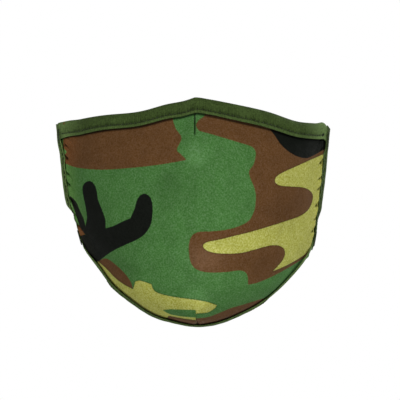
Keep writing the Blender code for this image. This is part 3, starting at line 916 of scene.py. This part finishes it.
def tape_lift(from_end):
    """How far a side tape is lifted over the ends of the long tapes."""
    return TAPE_LIFT * (1.0 - rising(from_end, LIFT_LENGTH, LIFT_RAMP))


def tape_wave(place):
    """Waves of a side tape's lip over the gathers."""
    return 0.35 * np.sin(2 * math.pi * place / GATHER_PITCH + 0.8 * np.sin(place * 0.2))


def make_side_tape(name, side, node):
    """Binding on a gathered side edge, lifted over the ends of the long tapes."""
    v = np.linspace(0.0, 1.0, 200)
    edge = side_edge(v, side)
    place = run_of(edge, axis=0)
    from_end = np.minimum(place, place[-1] - place)
    leaf = side_leaf(place)
    flat, raised = (fold_section(lift).T[..., None] for lift in (0.0, TAPE_LIFT))
    distance, depth = flat + (raised - flat) * tape_lift(from_end) / TAPE_LIFT
    distance = np.where(distance > 0, distance * leaf, distance)
    outwards = unit(edge - surface(insets_at(v, 1.0, side), v))
    rows, inner = fold_rows(lambda wanted: (insets_at(v, wanted, side), v), distance, outwards)
    rows = rows + inner * depth[..., None]
    rise = puffed(distance, SIDE_NEEDLE * leaf, TAPE_WIDTH * leaf, place) * rising(from_end, 2.0, 8.0)
    rise = rise + np.where(FRONT, tape_wave(place) * rising(distance, 4.0, 4.0), 0.0)
    # painted shade along the side tape's seam
    needle = 0.8 * bump(distance - 0.9 * SIDE_NEEDLE * leaf, 0.7)
    # the side tape at -X is made much paler than the one at +X
    wear_and_painted_light = np.full(distance.shape, 0.85 if side < 0 else 0.15)
    across = run_of(rows, axis=0)
    make_tape(name, node, rows - inner * rise[..., None], side > 0, place, across, needle, wear_and_painted_light)


def stitch_row(name, middles, alongs, outs, long_half, node, thick=0.24):
    """Row of separate stitches, each a short thread that dives into the cloth at both ends."""
    rings, around = 9, 8
    t = np.linspace(-1.0, 1.0, rings)[:, None]
    turn = np.arange(around) * 2 * math.pi / around
    across = np.cross(outs, alongs)[:, None, None]
    middles, alongs, outs = middles[:, None], alongs[:, None], outs[:, None]
    spine = middles + t * long_half * alongs + (0.22 - 0.40 * t**2) * outs
    ring = np.cos(turn)[:, None] * across + np.sin(turn)[:, None] * outs[:, None]
    radius = thick * np.sqrt(np.maximum(1.0 - np.abs(t) ** 4, 0.02))
    points = spine[:, :, None] + ring * radius[..., None]
    faces = []
    for first in range(0, points.size // 3, rings * around):
        faces += tube_faces(rings, around, first)
    row = make_object(name, points, faces, "mask", node, THREAD_MATERIAL)
    flat = np.zeros(points.shape[:3])
    add_cloth_coordinates(row, flat + t * long_half, flat + turn / (2 * math.pi) * THREAD_TWIST)


def stitches_on(line, outwards, skip, pitch=NEEDLE_PITCH):
    """Middles, directions and outward directions of stitches along a line, leaving out its ends."""
    run = run_of(line, axis=0)
    places = np.arange(skip, run[-1] - skip, pitch)

    def along_line(values, shift=0.0):
        return np.stack([np.interp(places + shift, run, values[:, k]) for k in range(3)], -1)

    return np.array((along_line(line), unit(along_line(line, 0.4) - along_line(line)), along_line(outwards)))


def leaf_stitches(name, node, u, v, raised, back_raised, skip):
    """Stitches on the front and the back leaf of a tape, each raised by an amount."""
    inwards = normals(u, v)
    level = surface(u, v) + inwards * (TAPE_FRONT - TAPE_THICKNESS / 2 + 0.02)
    front, back = level - inwards * raised[:, None], level + inwards * (TAPE_DEPTH + back_raised)[:, None]
    rows = stitches_on(front, -inwards, skip), stitches_on(back, inwards, skip)
    stitch_row(name, *np.concatenate(rows, axis=1), STITCH_HALF, node)


def make_long_stitches(name, top, node):
    """Stitches of the upper or lower tape, in the dimples along its seam."""
    u = np.linspace(-0.95, 0.95, 700)
    v = heights_at(u, needle_line(u, top), top)
    raised = 0.0 * u if top else -0.6 * drawn_under(u)
    leaf_stitches(name, node, u, v, raised, 0.0 * u, 3.0)


def make_side_stitches(name, side, node):
    """Stitches of a side tape, which hold the gathers."""
    v = np.linspace(0.03, 0.97, 300)
    place = run_of(side_edge(v, side), axis=0)
    u = insets_at(v, SIDE_NEEDLE * side_leaf(place), side)
    lift = tape_lift(np.minimum(place, place[-1] - place) + 2.0)
    leaf_stitches(name, node, u, v, lift + 0.5 * tape_wave(place), lift, 1.5)


def make_dart_stitches(name, top, node):
    """Fine stitches at the bottom of a dart's groove."""
    dart_x, reach = DARTS[top]
    distance = np.linspace(8.8, reach + 6.0, 60)
    u = np.full(distance.shape, dart_x / HALF_WIDTH * math.sin(HALF_SWEEP) / HALF_SWEEP)
    v = heights_at(u, distance, top)
    inwards = normals(u, v)
    row = stitches_on(surface(u, v) + inwards * 0.55, -inwards, 0.4, 1.6)
    stitch_row(name, *row, 0.6, node, thick=0.16)


def make_bartack(name, side, top, node):
    """Dense satin of thread over the end of an ear loop."""
    v = np.linspace(0.0, 1.0, 200)
    place = run_of(side_edge(v, side), axis=0)
    centre = place[-1] - TACK_PLACES[top] if top else TACK_PLACES[top]
    v_here = np.interp(centre + np.arange(-TACK_HALF, TACK_HALF + 0.01, TACK_PITCH), place, v)
    near, far = (surface(insets_at(v_here, distance, side), v_here) for distance in (3.0, 5.0))
    inwards = normals(insets_at(v_here, 4.0, side), v_here)
    along = unit(far - near)
    zigzag = np.where(np.arange(len(v_here)) % 2, 0.12, -0.12)[:, None]
    tilted = unit(along + np.cross(inwards, along) * zigzag)
    middles = (near + far) / 2 + inwards * (TAPE_FRONT - TAPE_LIFT - TAPE_THICKNESS / 2 - 0.30)
    stitch_row(name, middles, tilted, -inwards, TACK_STITCH_HALF, node, thick=0.25)


# ---- ear loops

def loop_route(side):
    """Middle line of an ear loop from its upper to its lower sewn end, and directions across and inwards."""
    hinge = HINGES[("left" if side < 0 else "right") + "_ear_loop"]
    up = unit(np.array(hinge["axis"], float))
    up = up * (1.0 if up[2] > 0 else -1.0)
    inwards = np.array((-side * abs(up[2]), 0.0, abs(up[0])))
    run = (LOOP_HIGH[2] - LOOP_LOW[2]) - LOOP_WIDTH - abs(up[0]) * LOOP_DEPTH
    bottom = np.array(hinge["pos_m"]) / MM - up * run
    straight, corner = LOOP_DEPTH - LOOP_CORNER, LOOP_CORNER
    out, far, home = np.arange(40) / 40, np.arange(16) / 16, np.arange(41) / 40
    turn = np.arange(24) / 24 * math.pi / 2
    depth = (straight * out, straight + corner * np.sin(turn), LOOP_DEPTH + 0.0 * far,
             straight + corner * np.cos(turn), straight * (1 - home))
    height = (run + 0.0 * out, run - corner * (1 - np.cos(turn)), run - corner - (run - 2 * corner) * far,
              corner * (1 - np.sin(turn)), 0.0 * home)
    angle = (0.0 * out, turn, math.pi / 2 + 0.0 * far, math.pi / 2 + turn, math.pi + 0.0 * home)
    depth, height, angle = (np.concatenate(parts)[:, None] for parts in (depth, height, angle))
    return bottom + inwards * depth + up * height, inwards * np.sin(angle) + up * np.cos(angle), inwards


def edge_shift(heights, side):
    """How far a side edge has settled at each height."""
    v = np.linspace(0.0, 1.0, 60)
    plain = SIDE_BOTTOM + (SIDE_TOP - SIDE_BOTTOM) * v[:, None]
    shift = side_edge(v, side) - plain * np.array((side, 1.0, 1.0))
    return np.stack([np.interp(heights, plain[:, 2], shift[:, k]) for k in range(3)], -1)


def followed(points, side, from_end):
    """Loop whose sewn ends move with the settled side edge, fading out along the loop."""
    fade = 1.0 - rising(from_end, 2.0, 16.0)
    return points + edge_shift(points[..., 2], side) * fade[:, None, None]


def loop_section():
    """Section of the flat ribbed elastic: offsets across its width and through its thickness."""
    turn = np.arange(64) * 2 * math.pi / 64
    wide = np.sign(np.cos(turn)) * np.abs(np.cos(turn)) ** 0.35 * LOOP_WIDTH / 2
    ribs = 0.08 * np.cos(wide * 2 * math.pi / ELASTIC_RIB) * (np.abs(wide) < 3.6)
    thick = np.sign(np.sin(turn)) * (np.abs(np.sin(turn)) ** 0.5 * LOOP_THICKNESS * 0.40 + ribs)
    return wide, thick


def with_tucks(points, inwards):
    """Loop with both sewn ends carried on, forward and outward into the side tape."""
    share = np.linspace(1.0, 0.15, 6)[:, None, None]
    shift = -inwards * 2.0 * share - BACKWARDS * 3.0 * share**1.5
    return np.concatenate((points[0] + shift, points, (points[-1] + shift)[::-1]))


def blend_loop(loop, spine, side):
    """Bake the elastic's transform into its mesh; the sewn ends worked out here are not used."""
    upper, lower = (end + edge_shift(end[2], side) for end in (spine[0], spine[-1]))
    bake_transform(loop)


def make_ear_loop(name, side, body):
    """Flat ribbed elastic whose sewn ends turn forward into the side tape and stay with the mask."""
    spine, across, inwards = loop_route(side)
    place = run_of(spine, axis=0)
    from_end = np.minimum(place, place[-1] - place)
    wave = 0.30 * np.sin(place * 0.11 + side) * rising(from_end, 12.0, 15.0)
    spine = spine + BACKWARDS * wave[:, None]
    wide, thick = loop_section()
    points = spine[:, None] + across[:, None] * wide[:, None] + BACKWARDS * thick[:, None]
    points = with_tucks(followed(points, side, from_end), inwards)
    faces = tube_faces(*points.shape[:2], flipped=side > 0)
    loop = make_object(name, points, faces, None, body, ELASTIC_MATERIAL)
    add_cloth_coordinates(loop, run_of(points[:, :1], axis=0), wide)
    blend_loop(loop, spine, side)


# ---- assembly

TAPE_MATERIAL = tape_material()
THREAD_MATERIAL = thread_material()
ELASTIC_MATERIAL = plain_cloth_material("ribbed_elastic", ELASTIC, ELASTIC_RIB, 1.6, 0.15, ribbed=True)

make_panel()
make_lining()
make_filter()
make_long_tape("top_tape", True, "top_binding")
make_long_tape("bottom_tape", False, "bottom_binding")
make_long_stitches("top_tape_stitches", True, "top_binding_stitching")
make_long_stitches("bottom_tape_stitches", False, "bottom_binding_stitching")
make_dart_stitches("nose_dart_stitches", True, "nose_dart_stitching")
make_dart_stitches("chin_dart_stitches", False, "chin_dart_stitching")
for side_name, side_sign in (("left", -1), ("right", 1)):
    make_side_tape(side_name + "_side_tape", side_sign, side_name + "_side_binding")
    make_side_stitches(side_name + "_side_stitches", side_sign, side_name + "_side_stitching")
    make_bartack(side_name + "_upper_tack", side_sign, True, side_name + "_upper_bartack")
    make_bartack(side_name + "_lower_tack", side_sign, False, side_name + "_lower_bartack")
    make_ear_loop(side_name + "_elastic", side_sign, side_name + "_ear_loop")

wire = frame["nodes"]["nose_wire"]
wire.data.materials.clear()
wire.data.materials.append(wire_material())


# ---- floor, light and camera

FLOOR_Z = -0.30
FLOOR_RADIUS = 1.2
FLOOR_GLOW = 0.1
MASK_MIDDLE = Vector((0.0, -0.03, 0.0))
BACKDROP_LIGHT = 0.26
LIGHTS = (  # name, place, side length in metres and power in watts
    ("key", (0.24, -1.15, 0.50), 0.5, 11.4),
    ("right", (1.3, -0.3, 0.4), 0.8, 0.5),
    ("left", (-1.3, -0.25, 0.2), 0.7, 2.4),
    ("rear", (0.7, 1.1, 0.5), 0.7, 12.0),
)
VIEW_WIDTH = 218.8
SENSOR = 36.0


def make_floor():
    """Plain pale floor, well below the mask."""
    place = (0.0, 0.0, FLOOR_Z)
    bpy.ops.mesh.primitive_circle_add(vertices=96, radius=FLOOR_RADIUS, fill_type="NGON", location=place)
    floor = bpy.context.object
    floor.name = "floor"
    g = Graph("pale_floor")
    g.shade(Base_Color=(0.90, 0.90, 0.89, 1.0), Roughness=0.9)
    g.shade(Emission_Color=(1.0, 1.0, 0.99, 1.0), Emission_Strength=FLOOR_GLOW)
    floor.data.materials.append(g.material)


def place_object(name, data, place, facing):
    """Light or camera at a place, facing a direction."""
    thing = bpy.data.objects.new(name, data)
    thing.location = place
    thing.rotation_euler = facing.to_track_quat("-Z", "Y").to_euler()
    bpy.context.scene.collection.objects.link(thing)
    return thing


def make_light(name, place, size, power):
    """Square soft light that faces the mask."""
    light = bpy.data.lights.new(name, "AREA")
    light.size = size
    light.energy = power
    place_object(name, light, place, MASK_MIDDLE - Vector(place))


def make_camera():
    """Long lens in front of the mask, turned as the outlines of the print are given."""
    camera = bpy.data.cameras.new("camera")
    camera.sensor_width = SENSOR
    camera.lens = SENSOR * CAMERA_DISTANCE / VIEW_WIDTH
    camera.clip_end = 20.0
    away = Vector((math.sin(CAMERA_TURN), -math.cos(CAMERA_TURN), 0.0))
    place = (Vector((VIEW_X, 0.0, VIEW_Z)) + away * CAMERA_DISTANCE) * MM
    bpy.context.scene.camera = place_object("camera", camera, place, -away)


def make_world():
    """White studio: the backdrop is seen at full white, and lights the mask more softly."""
    world = bpy.data.worlds.new("studio")
    world.use_nodes = True
    nodes, links = world.node_tree.nodes, world.node_tree.links
    path = nodes.new("ShaderNodeLightPath")
    power = nodes.new("ShaderNodeMapRange")
    power.inputs["To Min"].default_value = BACKDROP_LIGHT
    power.inputs["To Max"].default_value = 1.0
    links.new(path.outputs["Is Camera Ray"], power.inputs["Value"])
    links.new(power.outputs["Result"], nodes["Background"].inputs["Strength"])
    nodes["Background"].inputs["Color"].default_value = (1.0, 1.0, 1.0, 1.0)
    bpy.context.scene.world = world


make_floor()
for light_name, light_place, light_size, light_power in LIGHTS:
    make_light(light_name, light_place, light_size, light_power)
make_camera()
make_world()
bpy.context.scene.view_settings.view_transform = "Standard"
